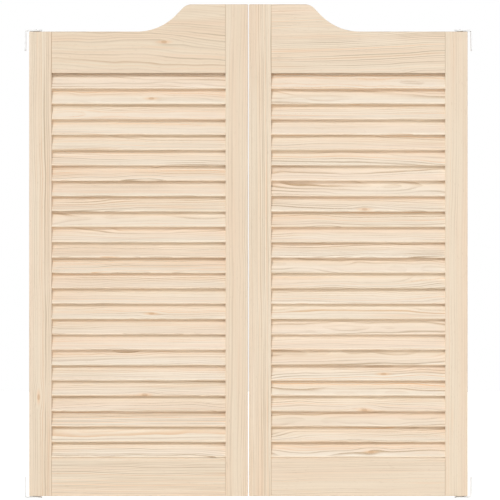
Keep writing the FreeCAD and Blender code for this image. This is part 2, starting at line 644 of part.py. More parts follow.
def left_side():
    """Every piece of the left door and its pivots, by name."""
    pieces = {
        "outer_stile": outer_stile(),
        "inner_stile": inner_stile(),
        "top_rail": top_rail(),
        "bottom_rail": bottom_rail(),
        "rail_dowels": dowels(),
        "lower_spring_housing": lower_spring_housing(),
        "lower_bush": lower_bush(),
        "guide_bush": guide_bush(),
        "return_spring": return_spring(),
        "lower_plate_screws": plate_screws(DOOR_BOTTOM_Z, 1),
        "upper_pin_housing": upper_pin_housing(),
        "pin_spring": pin_spring(),
        "upper_plate_screws": plate_screws(SHOULDER_Z, -1),
        "top_pin": top_pin(),
        "lower_bracket": lower_bracket(),
        "lower_spindle": lower_spindle(),
        "thrust_washer": thrust_washer(),
        "upper_bracket": upper_bracket(),
        "upper_bush": upper_bush(),
    }
    pieces.update(louvre_groups())
    return pieces


def export_pieces():
    os.makedirs("parts", exist_ok=True)
    for name, shape in left_side().items():
        shape.exportStep("parts/left_" + name + ".step")
        mirrored = shape.mirror(vector(0, 0, 0), vector(1, 0, 0))
        mirrored.exportStep("parts/right_" + name + ".step")


export_pieces()
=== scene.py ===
import math
import random

import bpy
from bpy.props import FloatProperty, FloatVectorProperty, IntProperty, PointerProperty
from mathutils import Euler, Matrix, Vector


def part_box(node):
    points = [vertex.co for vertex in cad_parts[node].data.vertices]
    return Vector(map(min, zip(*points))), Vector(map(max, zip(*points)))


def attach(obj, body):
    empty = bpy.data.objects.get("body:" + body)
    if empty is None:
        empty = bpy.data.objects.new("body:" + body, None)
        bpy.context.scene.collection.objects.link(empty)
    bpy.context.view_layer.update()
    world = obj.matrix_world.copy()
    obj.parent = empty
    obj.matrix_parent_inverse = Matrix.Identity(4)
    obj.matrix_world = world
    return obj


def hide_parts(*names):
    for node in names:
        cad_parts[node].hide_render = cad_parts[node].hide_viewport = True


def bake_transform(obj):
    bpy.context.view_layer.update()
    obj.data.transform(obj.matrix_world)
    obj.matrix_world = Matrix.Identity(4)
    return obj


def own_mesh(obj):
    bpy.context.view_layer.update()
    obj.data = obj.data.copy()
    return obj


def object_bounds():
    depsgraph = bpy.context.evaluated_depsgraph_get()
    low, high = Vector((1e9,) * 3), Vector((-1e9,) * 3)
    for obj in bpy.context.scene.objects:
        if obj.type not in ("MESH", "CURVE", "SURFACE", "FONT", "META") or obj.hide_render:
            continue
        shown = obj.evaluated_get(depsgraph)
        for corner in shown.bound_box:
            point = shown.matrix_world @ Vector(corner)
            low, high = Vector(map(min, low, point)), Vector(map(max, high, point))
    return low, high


bl_info = {
    "name": "Cafe swinging doors",
    "version": (1, 0, 0),
    "blender": (4, 5, 0),
    "location": "3D View > Sidebar > Cafe doors",
    "description": "Dresses a pair of louvred pine cafe doors and sets a stage round them",
    "category": "Object",
}

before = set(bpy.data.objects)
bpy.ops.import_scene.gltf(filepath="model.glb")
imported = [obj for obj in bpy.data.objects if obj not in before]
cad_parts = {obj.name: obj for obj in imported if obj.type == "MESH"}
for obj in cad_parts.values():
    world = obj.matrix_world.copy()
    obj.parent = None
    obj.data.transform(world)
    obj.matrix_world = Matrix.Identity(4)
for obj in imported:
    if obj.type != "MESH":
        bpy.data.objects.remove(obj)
CAD_LOW, CAD_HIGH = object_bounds()

SIDES = ("left", "right")
GROUPS = ("top", "upper", "middle", "lower", "bottom")
SLATS_IN_GROUP = 5

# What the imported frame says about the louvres: their pitch, and how far a slat reaches
GROUP_LOW, GROUP_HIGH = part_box("left_louvres_top")
SLAT_PITCH = (GROUP_LOW.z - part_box("left_louvres_upper")[0].z) / SLATS_IN_GROUP
SLAT_RISE = GROUP_HIGH.z - GROUP_LOW.z - (SLATS_IN_GROUP - 1) * SLAT_PITCH
SLAT_REACH = GROUP_HIGH.y

# Points of a copied spring that lie closer than this are one point
MERGE_REACH = 0.000001

# Edges that turn by less than this are shaded smooth
SMOOTH_SPRING = math.radians(40)
SMOOTH_SLAT = math.radians(50)

# Start of the slats' random draws, and the range that a slat's own seed is drawn from
SLAT_DRAWS = 41
SLAT_SEEDS = (0, 60)

# Ranges that a slat's heart is drawn from: its lean, how far across it lies and how far into it
NEAR_HEART = ((-0.04, 0.04), (0.004, 0.02), (0.012, 0.035))
FAR_FROM_HEART = ((-0.03, 0.03), (0.04, 0.12), (0.0, 0.04))

# Ranges for how wide, wavy and strong a slat's rings are
SLAT_FIGURE = ((0.45, 0.80), (0.4, 1.0), (1.0, 1.75))

# A slat strays along each of these axes, in waves of this length
BOW_WAVES = (("Y", 0.13), ("Z", 0.055))
FREE_PART = "free of the slots"

# Worn paint: how far it reaches to each side of a washer's rim, and up an upper arm's edge
RUB_REACH, RUB_CORE = 0.0012, 0.0002
RUB_FADE_FROM, RUB_FADE_TO = 0.0004, 0.0010

# The picture the camera frames is square, a little wider than the pair of doors
VIEW_CENTRE = Vector((0.0035, CAD_LOW.y, 0.5385))

# Where each lamp hangs, as a direction from the middle of the doors, and how far off
KEY_DIRECTION = (-0.20, -0.88, 0.43)
BACK_DIRECTION = (0.40, 0.85, 0.36)
SIDE_DIRECTIONS = {"left": (-0.97, 0.0, 0.22), "right": (0.97, 0.0, 0.22)}
BOUNCE_DIRECTION = (0.05, -0.96, -0.17)
BROAD_DISTANCE = 7.0
BOUNCE_DISTANCE = 2.9
BOUNCE_SIZE = 2.6

FLOOR_RADIUS = 9.0
FLOOR_SIDES = 96
FLOOR_GLOW = 0.62
LENS_REACH = 100.0

# Pine. Sizes are in metres, and frequencies per metre along the grain, across it and into a board.

# Each noise's frequencies, what is added to the board's seed, and its detail
PINE_NOISES = {
    "wander": ((4.0, 9.0, 9.0), 0.0, 2.0),
    "ripple": ((14.0, 45.0, 45.0), 3.0, 1.0),
    "fade": ((6.0, 40.0, 40.0), 5.0, 2.0),
    "drift": ((1.6, 34.0, 34.0), 11.0, 2.0),
    "band": ((4.0, 230.0, 230.0), 17.0, 3.0),
    "streak": ((3.5, 75.0, 75.0), 23.0, 2.0),
    "fibre": ((60.0, 1500.0, 1500.0), 0.0, 2.0),
    "canal": ((110.0, 1300.0, 1300.0), 31.0, 0.0),
}

# How far the heart of the tree wanders and ripples, and how unevenly the rings are spaced
WANDER_SPREAD = 0.034
RIPPLE_SPREAD = 0.007
UNEVEN_FREQUENCY = 120.0
UNEVEN_RINGS = 1.8
SEED_TO_RING = 37.0

# Cells that may each hold a knot, then radii along and across the grain, and strengths
KNOT_CELLS = (3.2, 9.0, 4.0)
KNOT_RADII = (0.0062, 0.0030)
PULL_RADII, PULL_STRENGTH = (0.055, 0.019), 0.85
SMEAR_RADII, SMEAR_STRENGTH = (0.026, 0.0055), 0.75
KNOT_RING_FREQUENCY = 15.0

# Tones: what multiplies a board's colour, from the lowest draw up, and over one band of its figure
BOARD_LEVEL_LOW = (0.985, 0.972, 0.955)
BOARD_LEVEL_SPAN = (0.035, 0.055, 0.085)
BAND_SHADE = (0.20, 0.27, 0.36)
FIBRE_SHADE = 0.075
STREAK_SHARE = 0.34
CANAL_SHARE = 0.35
END_GRAIN_SHADE = (0.86, 0.80, 0.74)

# The dark line where a rail meets a stile
JOINT_LINE_FROM, JOINT_LINE_TO, JOINT_LINE_SHARE = 0.0012, 0.0003, 0.55


# Sizes and colours

class WoodSettings(bpy.types.PropertyGroup):
    pale: FloatVectorProperty(
        name="Early wood", description="Pale wood between the growth lines",
        subtype="COLOR", size=3, min=0, max=1, default=(0.858, 0.756, 0.622))
    line: FloatVectorProperty(
        name="Growth line", description="Denser wood of a growth line",
        subtype="COLOR", size=3, min=0, max=1, default=(0.520, 0.380, 0.245))
    rosy: FloatVectorProperty(
        name="Rosy drift", description="Pinkish wood that drifts along a board",
        subtype="COLOR", size=3, min=0, max=1, default=(0.856, 0.715, 0.572))
    honey: FloatVectorProperty(
        name="Honey streak", description="Resinous orange streaks",
        subtype="COLOR", size=3, min=0, max=1, default=(0.815, 0.560, 0.350))
    knot: FloatVectorProperty(
        name="Knot", description="Heart of a small knot",
        subtype="COLOR", size=3, min=0, max=1, default=(0.560, 0.340, 0.185))
    board_tint: FloatVectorProperty(
        name="Board tint", description="How much deeper the frame's boards are than the slats",
        subtype="COLOR", size=3, min=0, max=1, default=(0.960, 0.926, 0.880))
    # Painted highlight: a slat's front edge is coloured paler than its faces, standing in for light
    # caught along the nose
    nose_highlight_tint: FloatVectorProperty(
        name="Nose tint", description="How much paler a slat's planed front edge is than its faces",
        size=3, min=0, max=1.2, default=(1.11, 1.10, 1.08))
    ring_spacing: FloatProperty(
        name="Ring spacing", description="Mean distance between growth lines",
        unit="LENGTH", min=0.001, max=0.03, default=0.0062)
    line_strength: FloatProperty(
        name="Line strength", description="How strongly the growth lines show",
        subtype="FACTOR", min=0, max=1, default=0.85)
    knot_share: FloatProperty(
        name="Knot share", description="Share of the places where a knot may grow that hold one",
        subtype="FACTOR", min=0, max=1, default=0.18)
    dowel: FloatVectorProperty(
        name="Dowel", description="Beech of the dowels",
        subtype="COLOR", size=3, min=0, max=1, default=(0.610, 0.400, 0.240))


class MetalSettings(bpy.types.PropertyGroup):
    paint: FloatVectorProperty(
        name="Paint", description="Baked paint of the jamb brackets",
        subtype="COLOR", size=3, min=0, max=1, default=(0.915, 0.915, 0.905))
    zinc: FloatVectorProperty(
        name="Zinc", description="Plating of the pivot housings and screws",
        subtype="COLOR", size=3, min=0, max=1, default=(0.620, 0.630, 0.640))
    steel: FloatVectorProperty(
        name="Turned steel", description="Spindles and top pins",
        subtype="COLOR", size=3, min=0, max=1, default=(0.640, 0.635, 0.620))
    spring: FloatVectorProperty(
        name="Spring steel", description="Oil-tempered spring wire",
        subtype="COLOR", size=3, min=0, max=1, default=(0.260, 0.245, 0.235))
    nylon: FloatVectorProperty(
        name="Nylon", description="Bushes and thrust washers",
        subtype="COLOR", size=3, min=0, max=1, default=(0.780, 0.765, 0.700))


class SlatSettings(bpy.types.PropertyGroup):
    thickness: FloatProperty(
        name="Thickness", description="Thickness of a slat",
        unit="LENGTH", min=0.003, max=0.012, default=0.00635)
    tilt: FloatProperty(
        name="Tilt", description="How far a slat leans back from upright",
        subtype="ANGLE", min=0, max=math.radians(80), default=math.radians(30))
    edge_steps: IntProperty(
        name="Edge steps", description="Facets round one rounded edge",
        min=4, max=32, default=12)
    length_steps: IntProperty(
        name="Length steps", description="Segments along a slat",
        min=4, max=64, default=20)
    bow: FloatProperty(
        name="Bow", description="How far a slat strays from straight between its slots",
        unit="LENGTH", min=0, max=0.002, default=0.0009)


class StageSettings(bpy.types.PropertyGroup):
    camera_distance: FloatProperty(
        name="Camera distance", description="From the lens to the doors' front",
        unit="LENGTH", min=2, max=40, default=12)
    view_width: FloatProperty(
        name="View width", description="Width that the camera takes in at the doors' front",
        unit="LENGTH", min=0.5, max=4, default=1.0844)
    sky: FloatProperty(
        name="Room light", description="Even light from all round",
        min=0, max=2, default=0.26)
    key_strength: FloatProperty(
        name="Key light", description="Strength of the broad even light from the upper left",
        min=0, max=10, default=1.51)
    softness: FloatProperty(
        name="Softness", description="How broad the key, back and side lights look from the doors",
        subtype="ANGLE", min=0, max=math.radians(90), default=math.radians(20))
    bounce_power: FloatProperty(
        name="Bounce light", description="Power of the low light that comes back up from the floor",
        unit="POWER", min=0, max=2000, default=30)
    back_strength: FloatProperty(
        name="Back light", description="Strength of the broad even light from behind",
        min=0, max=10, default=1.86)
    side_strength: FloatProperty(
        name="Side lights", description="Strength of the broad even light from either side",
        min=0, max=10, default=0.62)
    floor_colour: FloatVectorProperty(
        name="Floor", description="Pale floor",
        subtype="COLOR", size=3, min=0, max=1, default=(0.82, 0.82, 0.82))


SETTINGS = {
    "doors_wood": WoodSettings,
    "doors_metal": MetalSettings,
    "doors_slats": SlatSettings,
    "doors_stage": StageSettings,
}


# Node trees

class Graph:
    """Adds nodes to a node tree. A value is a number, a vector, a colour or a node's output."""

    def __init__(self, tree):
        self.tree = tree

    def put(self, socket, value):
        if isinstance(value, bpy.types.NodeSocket):
            self.tree.links.new(value, socket)
        elif value is not None:
            socket.default_value = value

    def node(self, kind, values=None, **settings):
        made = self.tree.nodes.new(kind)
        for name, value in settings.items():
            setattr(made, name, value)
        for name, value in (values or {}).items():
            self.put(made.inputs[name], value)
        return made

    def math(self, operation, *values):
        made = self.node("ShaderNodeMath", operation=operation)
        for socket, value in zip(made.inputs, values):
            self.put(socket, value)
        return made.outputs["Value"]

    def vector(self, operation, *values):
        made = self.node("ShaderNodeVectorMath", operation=operation)
        for socket, value in zip(made.inputs, values):
            self.put(socket, value)
        return made.outputs["Value" if operation in ("LENGTH", "DISTANCE") else "Vector"]

    def split(self, value):
        made = self.node("ShaderNodeSeparateXYZ", {"Vector": value})
        return [made.outputs[axis] for axis in "XYZ"]

    def join(self, x=0.0, y=0.0, z=0.0):
        return self.node("ShaderNodeCombineXYZ", {"X": x, "Y": y, "Z": z}).outputs["Vector"]

    def noise(self, place, stretch, seed=0.0, detail=2.0):
        """Noise with its own frequency along each axis, per metre."""
        stretched = self.vector("MULTIPLY", place, stretch)
        values = {"Vector": stretched, "W": seed, "Scale": 1.0, "Detail": detail}
        return self.node("ShaderNodeTexNoise", values, noise_dimensions="4D")

    def step(self, value, low, high):
        """0 below low, 1 above high, smooth between; the other way round where low is larger."""
        values = {"Value": value, "From Min": min(low, high), "From Max": max(low, high)}
        if low > high:
            values.update({"To Min": 1.0, "To Max": 0.0})
        made = self.node("ShaderNodeMapRange", values, interpolation_type="SMOOTHSTEP")
        return made.outputs["Result"]

    def blend(self, share, first, second, how="MIX"):
        made = self.node("ShaderNodeMix", data_type="RGBA", blend_type=how)
        for place, value in ((0, share), (6, first), (7, second)):
            if isinstance(value, (tuple, list)) and len(value) == 3:
                value = (*value, 1.0)
            self.put(made.inputs[place], value)
        return made.outputs[2]

    def tinted(self, tone, tint):
        return self.blend(1.0, tone, tint, "MULTIPLY")

    def seen_directly(self):
        """1 for rays from the lens, and for those that metal or glass sends on."""
        seen = self.node("ShaderNodeLightPath").outputs
        return self.math("MAXIMUM", seen["Is Camera Ray"], self.math(
            "MAXIMUM", seen["Is Glossy Ray"], seen["Is Transmission Ray"]))


def new_material(name):
    """A material with an empty tree but for its shader, and the graph to fill it."""
    material = bpy.data.materials.new(name)
    material.use_nodes = True
    material.node_tree.nodes.clear()
    graph = Graph(material.node_tree)
    shader = graph.node("ShaderNodeBsdfPrincipled")
    graph.node("ShaderNodeOutputMaterial", {"Surface": shader.outputs["BSDF"]})
    return material, graph, shader


def object_place(graph):
    return graph.node("ShaderNodeTexCoord").outputs["Object"]


def finish(graph, shader, tone, roughness, height, distance, strength, metallic=0.0):
    """Gives a shader its colour, its roughness and a fine relief of the given depth."""
    relief = graph.node(
        "ShaderNodeBump", {"Height": height, "Distance": distance, "Strength": strength})
    values = {
        "Base Color": tone, "Roughness": roughness, "Metallic": metallic,
        "Normal": relief.outputs["Normal"],
    }
    for name, value in values.items():
        graph.put(shader.inputs[name], value)


def colour(value, level=1.0):
    """A colour with its alpha, at a level of its own strength."""
    return (*(part * level for part in value), 1.0)


class SolidPine:
    """Node group: pine all through a board, from a place along its grain, across it and into it."""

    NAME = "solid pine"
    INPUTS = {
        "Place": "Vector", "Heart": "Vector", "Seed": "Float", "Figure": "Vector", "Tint": "Color"}
    OUTPUTS = {"Colour": "Color", "Height": "Float", "Roughness": "Float"}

    def __init__(self, wood):
        self.wood = wood
        self.tree = bpy.data.node_groups.new(self.NAME, "ShaderNodeTree")
        for way, sockets in (("INPUT", self.INPUTS), ("OUTPUT", self.OUTPUTS)):
            for name, kind in sockets.items():
                self.tree.interface.new_socket(
                    name, in_out=way, socket_type="NodeSocket" + kind)
        self.graph = Graph(self.tree)
        given = self.graph.node("NodeGroupInput").outputs
        self.place, self.heart, self.seed = given["Place"], given["Heart"], given["Seed"]
        self.figure, self.tint = given["Figure"], given["Tint"]
        self.grow_knots()
        self.grow_rings()
        self.fibre = self.noise("fibre").outputs["Fac"]
        self.canal = self.graph.step(self.noise("canal").outputs["Fac"], 0.74, 0.80)
        self.graph.node("NodeGroupOutput", {
            "Colour": self.tone(), "Height": self.height(), "Roughness": self.roughness()})

    def noise(self, name):
        frequencies, offset, detail = PINE_NOISES[name]
        seed = self.graph.math("ADD", self.seed, offset)
        return self.graph.noise(self.place, frequencies, seed, detail)

    def spread(self, name, size):
        """A shift across the grain and into the board, to either side."""
        shift = self.graph.vector(
            "SUBTRACT", self.noise(name).outputs["Color"], (0.5, 0.5, 0.5))
        return self.graph.vector("MULTIPLY", shift, (0.0, size, size))

    def grow_knots(self):
        """A point in each long cell may hold a knot, and the grain runs round it."""
        graph = self.graph
        cells = graph.vector("MULTIPLY", self.place, KNOT_CELLS)
        scattered = graph.node(
            "ShaderNodeTexVoronoi", {"Vector": cells, "W": self.seed, "Scale": 1.0},
            voronoi_dimensions="4D")
        point = graph.vector("DIVIDE", scattered.outputs["Position"], KNOT_CELLS)
        off_along, off_across, _ = graph.split(graph.vector("SUBTRACT", self.place, point))
        chance = graph.split(scattered.outputs["Color"])[0]
        grown = graph.math("LESS_THAN", chance, self.wood.knot_share)

        def reach(radii):
            return graph.vector("LENGTH", graph.join(
                graph.math("DIVIDE", off_along, radii[0]),
                graph.math("DIVIDE", off_across, radii[1])))

        self.knot_reach = reach(KNOT_RADII)
        self.in_knot = graph.math("MULTIPLY", graph.step(self.knot_reach, 1.25, 0.75), grown)
        self.smear = graph.math(
            "MULTIPLY", graph.step(reach(SMEAR_RADII), 1.0, 0.1),
            graph.math("MULTIPLY", grown, SMEAR_STRENGTH))
        pull = graph.math(
            "MULTIPLY", graph.step(reach(PULL_RADII), 1.0, 0.0),
            graph.math("MULTIPLY", grown, PULL_STRENGTH))
        self.pushed = graph.math(
            "SUBTRACT", graph.split(self.place)[1], graph.math("MULTIPLY", off_across, pull))

    def grow_rings(self):
        """Rings grow round the heart of the tree, which wanders along the board."""
        graph = self.graph
        along, _, into = graph.split(self.place)
        slope, heart_across, heart_into = graph.split(self.heart)
        spacing, waviness, self.contrast = graph.split(self.figure)
        stray = graph.vector(
            "ADD", self.spread("wander", WANDER_SPREAD), self.spread("ripple", RIPPLE_SPREAD))
        stray = graph.vector("MULTIPLY", stray, graph.join(0.0, waviness, waviness))
        lean = graph.math("MULTIPLY", along, slope)
        ring_across = graph.math("ADD", graph.math("SUBTRACT", self.pushed, heart_across), lean)
        ring_into = graph.math("SUBTRACT", into, heart_into)
        from_heart = graph.vector("ADD", graph.join(0.0, ring_across, ring_into), stray)
        distance = graph.vector("LENGTH", from_heart)
        uneven = graph.noise(
            graph.join(distance), (UNEVEN_FREQUENCY, 0.0, 0.0), self.seed, 1.0).outputs["Fac"]
        rings = graph.math(
            "ADD", graph.math("DIVIDE", distance, spacing),
            graph.math("MULTIPLY", uneven, UNEVEN_RINGS))
        phase = graph.math("FRACT", rings)
        number = graph.math(
            "ADD", graph.math("FLOOR", rings), graph.math("MULTIPLY", self.seed, SEED_TO_RING))
        draw = graph.node("ShaderNodeTexWhiteNoise", {"W": number}, noise_dimensions="1D")
        chance, self.ring_hue, _ = graph.split(draw.outputs["Color"])
        late = graph.math("MULTIPLY", graph.step(phase, 0.42, 0.90), graph.step(phase, 1.0, 0.92))

        # Where a board is cut along a ring, its line spreads out and pales
        sideways = graph.math(
            "DIVIDE", graph.math("ABSOLUTE", graph.split(from_heart)[1]), distance)
        paling = graph.math("MULTIPLY_ADD", graph.step(sideways, 0.05, 0.40), 0.75, 0.25)
        self.late = graph.math("MULTIPLY", late, paling)
        fade = graph.step(self.noise("fade").outputs["Fac"], 0.30, 0.62)
        strength = graph.math("MULTIPLY", graph.math("POWER", chance, 1.4), fade)
        strength = graph.math(
            "MULTIPLY", graph.math("ADD", strength, 0.20),
            graph.math("MULTIPLY", self.contrast, self.wood.line_strength))
        self.line = graph.math("MINIMUM", graph.math("MULTIPLY", self.late, strength), 1.0)

    def tone(self):
        """Drifts of tone, growth lines, resin streaks, fibres and knots."""
        graph, wood = self.graph, self.wood
        drift = graph.step(self.noise("drift").outputs["Fac"], 0.38, 0.66)
        tone = graph.blend(drift, colour(wood.pale), colour(wood.rosy))
        board = graph.node(
            "ShaderNodeTexWhiteNoise", {"W": self.seed}, noise_dimensions="1D").outputs["Value"]
        tone = graph.tinted(tone, graph.vector(
            "MULTIPLY_ADD", graph.join(board, board, board), BOARD_LEVEL_SPAN, BOARD_LEVEL_LOW))
        tone = graph.tinted(tone, self.tint)
        band = graph.math("SUBTRACT", self.noise("band").outputs["Fac"], 0.5)
        band = graph.math("MULTIPLY", band, self.contrast)
        tone = graph.tinted(tone, graph.vector(
            "MULTIPLY_ADD", graph.join(band, band, band), BAND_SHADE, (1.0, 1.0, 1.0)))
        honeyed = graph.step(self.ring_hue, 0.55, 0.95)
        line_tone = graph.blend(honeyed, colour(wood.line), colour(wood.honey))
        tone = graph.blend(self.line, tone, line_tone)
        streak = graph.step(self.noise("streak").outputs["Fac"], 0.60, 0.76)
        streak = graph.math("MULTIPLY", streak, STREAK_SHARE)
        tone = graph.blend(streak, tone, colour(wood.honey))
        shade = graph.math("MULTIPLY_ADD", self.fibre, FIBRE_SHADE, 1 - FIBRE_SHADE / 2)
        tone = graph.tinted(tone, graph.join(shade, shade, shade))
        in_canal = graph.math("MULTIPLY", self.canal, CANAL_SHARE)
        tone = graph.blend(in_canal, tone, colour(wood.line))
        tone = graph.blend(self.smear, tone, colour(wood.honey))
        rings = graph.math("SINE", graph.math("MULTIPLY", self.knot_reach, KNOT_RING_FREQUENCY))
        share = graph.math(
            "MULTIPLY", self.in_knot, graph.math("MULTIPLY_ADD", rings, 0.10, 0.50))
        return graph.blend(share, tone, colour(wood.knot))

    def height(self):
        graph = self.graph
        height = graph.math(
            "ADD", graph.math("MULTIPLY", self.fibre, 0.55),
            graph.math("MULTIPLY", self.late, 0.45))
        return graph.math("SUBTRACT", height, graph.math("MULTIPLY", self.canal, 0.6))

    def roughness(self):
        graph = self.graph
        dense = graph.math("MULTIPLY", graph.math("ADD", self.line, self.in_knot), 0.18)
        return graph.math(
            "SUBTRACT", graph.math("MULTIPLY_ADD", self.fibre, 0.16, 0.56), dense)


def pine_group(wood):
    return bpy.data.node_groups.get(SolidPine.NAME) or SolidPine(wood).tree


def pine_material(name, wood, place, heart, seed, figure, tint, end_grain=None, joint_reach=None):
    """Pine from the shared group. A callable value is made in the material's own graph."""
    material, graph, shader = new_material(name)
    pine = graph.node("ShaderNodeGroup", node_tree=pine_group(wood))
    given = {"Place": place, "Heart": heart, "Seed": seed, "Figure": figure, "Tint": tint}
    for socket, value in given.items():
        graph.put(pine.inputs[socket], value(graph) if callable(value) else value)
    tone = pine.outputs["Colour"]
    if joint_reach is not None:
        to_joint = graph.math("ABSOLUTE", graph.split(place(graph))[0])
        crack = graph.step(
            to_joint, joint_reach - JOINT_LINE_FROM, joint_reach - JOINT_LINE_TO)
        crack = graph.math("MULTIPLY", crack, JOINT_LINE_SHARE)
        tone = graph.blend(crack, tone, colour(wood.line))
    if end_grain is not None:
        facing = graph.split(graph.node("ShaderNodeTexCoord").outputs["Normal"])[end_grain]
        cut = graph.step(graph.math("ABSOLUTE", facing), 0.75, 0.97)
        tone = graph.blend(cut, tone, graph.tinted(tone, END_GRAIN_SHADE))
    shader.inputs["Specular IOR Level"].default_value = 0.32
    finish(graph, shader, tone, pine.outputs["Roughness"], pine.outputs["Height"], 0.00016, 0.7)
    return material


def board_material(wood, node, grain, heart, seed, closeness, waviness, contrast):
    """Pine for one board of the frame, whose grain runs along X or Z."""
    low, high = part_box(node)
    centre = (low + high) / 2
    figure = (wood.ring_spacing / closeness, waviness, contrast)
    joint_reach = (high.x - low.x) / 2 if grain == "X" else None

    def place(graph):
        x, y, z = graph.split(graph.vector("SUBTRACT", object_place(graph), tuple(centre)))
        return graph.join(x, z, y) if grain == "X" else graph.join(z, x, y)

    return pine_material(
        node.replace("_", " ") + " pine", wood, place, heart, seed, figure,
        colour(wood.board_tint), "XYZ".index(grain), joint_reach)


def slat_material(wood, slats):
    """Pine for all slats: each carries its own place, heart, seed and figure as attributes."""

    def attribute(name, output):
        return lambda graph: graph.node(
            "ShaderNodeAttribute", attribute_name=name).outputs[output]

    place = attribute("slat_place", "Vector")

    # Painted highlight: the rounded front edge of each slat is coloured paler than its faces,
    # standing in for light caught along the nose
    def tint(graph):
        across = graph.split(place(graph))[1]
        face_end = -slat_flat_width(slats) / 2
        painted_highlight_share = graph.step(across, face_end, face_end - slats.thickness / 4)
        return graph.blend(painted_highlight_share, (1.0, 1.0, 1.0), tuple(wood.nose_highlight_tint))

    return pine_material(
        "slat pine", wood, place, attribute("slat_heart", "Vector"),
        attribute("slat_seed", "Fac"), attribute("slat_figure", "Vector"), tint)


def finish_node(name, material):
    """Gives a node of the frame a finish, in each of its material slots."""
    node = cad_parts[name]
    if not node.material_slots:
        node.data.materials.append(material)
    for slot in node.material_slots:
        slot.material = material


# Modelling by hand

def deselect_all():
    if bpy.context.object and bpy.context.object.mode != "OBJECT":
        bpy.ops.object.mode_set(mode="OBJECT")
    bpy.ops.object.select_all(action="DESELECT")


def take(piece):
    """Makes one object the selected and active one."""
    deselect_all()
    piece.select_set(True)
    bpy.context.view_layer.objects.active = piece


def select_where(piece, kind, test):
    """In edit mode, selects the vertices, edges or faces whose corners pass the test."""
    bpy.ops.mesh.select_all(action="DESELECT")
    bpy.ops.mesh.select_mode(type=kind)
    bpy.ops.object.mode_set(mode="OBJECT")
    mesh = piece.data
    parts = {"VERT": mesh.vertices, "EDGE": mesh.edges, "FACE": mesh.polygons}[kind]
    for part in parts:
        corners = [part.index] if kind == "VERT" else part.vertices
        part.select = test([mesh.vertices[corner].co for corner in corners])
    bpy.ops.object.mode_set(mode="EDIT")


def slat_flat_width(slats):
    """Width of a slat between its rounded edges."""
    return (SLAT_REACH - slats.thickness / 2) * 2 / math.sin(slats.tilt)


def blank_slat(slats):
    """A straight slat that lies level on the origin: X along it, Y across it, edges rounded."""
    low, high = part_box("left_louvres_top")
    length = high.x - low.x
    radius = slats.thickness / 2
    half_width = slat_flat_width(slats) / 2
    deselect_all()
    bpy.ops.mesh.primitive_circle_add(
        vertices=2 * slats.edge_steps, radius=radius, fill_type="NOTHING",
        location=(-length / 2, 0, 0), rotation=(0, math.pi / 2, 0))
    slat = bpy.context.object
    bpy.ops.object.transform_apply(location=True, rotation=True, scale=True)
    bpy.ops.object.mode_set(mode="EDIT")
    bpy.ops.mesh.select_all(action="SELECT")
    bpy.ops.mesh.edge_face_add()
    half_facet = radius * math.sin(math.pi / slats.edge_steps / 2)
    select_where(slat, "VERT", lambda points: points[0].y > half_facet)
    bpy.ops.transform.translate(value=(0, half_width, 0))
    select_where(slat, "VERT", lambda points: points[0].y < -half_facet)
    bpy.ops.transform.translate(value=(0, -half_width, 0))
    bpy.ops.mesh.select_all(action="SELECT")
    bpy.ops.mesh.extrude_region_move(TRANSFORM_OT_translate={"value": (length, 0, 0)})
    select_where(slat, "EDGE", lambda points: abs(points[0].x - points[1].x) > length / 2)
    bpy.ops.mesh.subdivide(number_cuts=slats.length_steps - 1)
    bpy.ops.mesh.select_all(action="SELECT")
    bpy.ops.mesh.normals_make_consistent(inside=False)
    bpy.ops.object.mode_set(mode="OBJECT")
    return slat


def write_attribute(mesh, name, kind, values):
    layer = mesh.attributes.new(name, kind, "POINT")
    for item, value in zip(layer.data, values):
        setattr(item, "value" if kind == "FLOAT" else "vector", value)


def mark_grain(slat, wood, draw):
    """Gives a slat its own place in its own tree, from where its points lie before it is tilted."""
    side = draw.choice((-1, 1))
    near_heart = draw.random() < 0.5
    lean, across, into = NEAR_HEART if near_heart else FAR_FROM_HEART
    heart = (draw.uniform(*lean), side * draw.uniform(*across), draw.uniform(*into))
    seed = draw.uniform(*SLAT_SEEDS)
    width, waviness, contrast = SLAT_FIGURE
    figure = (
        wood.ring_spacing * draw.uniform(*width), draw.uniform(*waviness),
        draw.uniform(*contrast))
    points = [tuple(vertex.co) for vertex in slat.data.vertices]
    write_attribute(slat.data, "slat_place", "FLOAT_VECTOR", points)
    write_attribute(slat.data, "slat_heart", "FLOAT_VECTOR", [heart] * len(points))
    write_attribute(slat.data, "slat_seed", "FLOAT", [seed] * len(points))
    write_attribute(slat.data, "slat_figure", "FLOAT_VECTOR", [figure] * len(points))


def bow_slat(slat, slats):
    """Lets a slat stray a little from straight between its slots, as sawn stock does."""
    low = min(vertex.co.x for vertex in slat.data.vertices)
    high = max(vertex.co.x for vertex in slat.data.vertices)
    free = slat.vertex_groups.new(name=FREE_PART)
    for vertex in slat.data.vertices:
        share = (vertex.co.x - low) / (high - low)
        free.add([vertex.index], math.sin(math.pi * share) ** 0.5, "REPLACE")
    for axis, size in BOW_WAVES:
        texture = bpy.data.textures.new("slat stray " + axis, "CLOUDS")
        texture.noise_scale = size
        stray = slat.modifiers.new("stray " + axis, "DISPLACE")
        stray.texture = texture
        stray.texture_coords = "LOCAL"
        stray.direction = axis
        stray.mid_level = 0.5
        stray.strength = slats.bow
        stray.vertex_group = FREE_PART
        take(slat)
        bpy.ops.object.modifier_apply(modifier=stray.name)
        bpy.data.textures.remove(texture)
    slat.vertex_groups.clear()


# Operators, one for each piece or group of like pieces

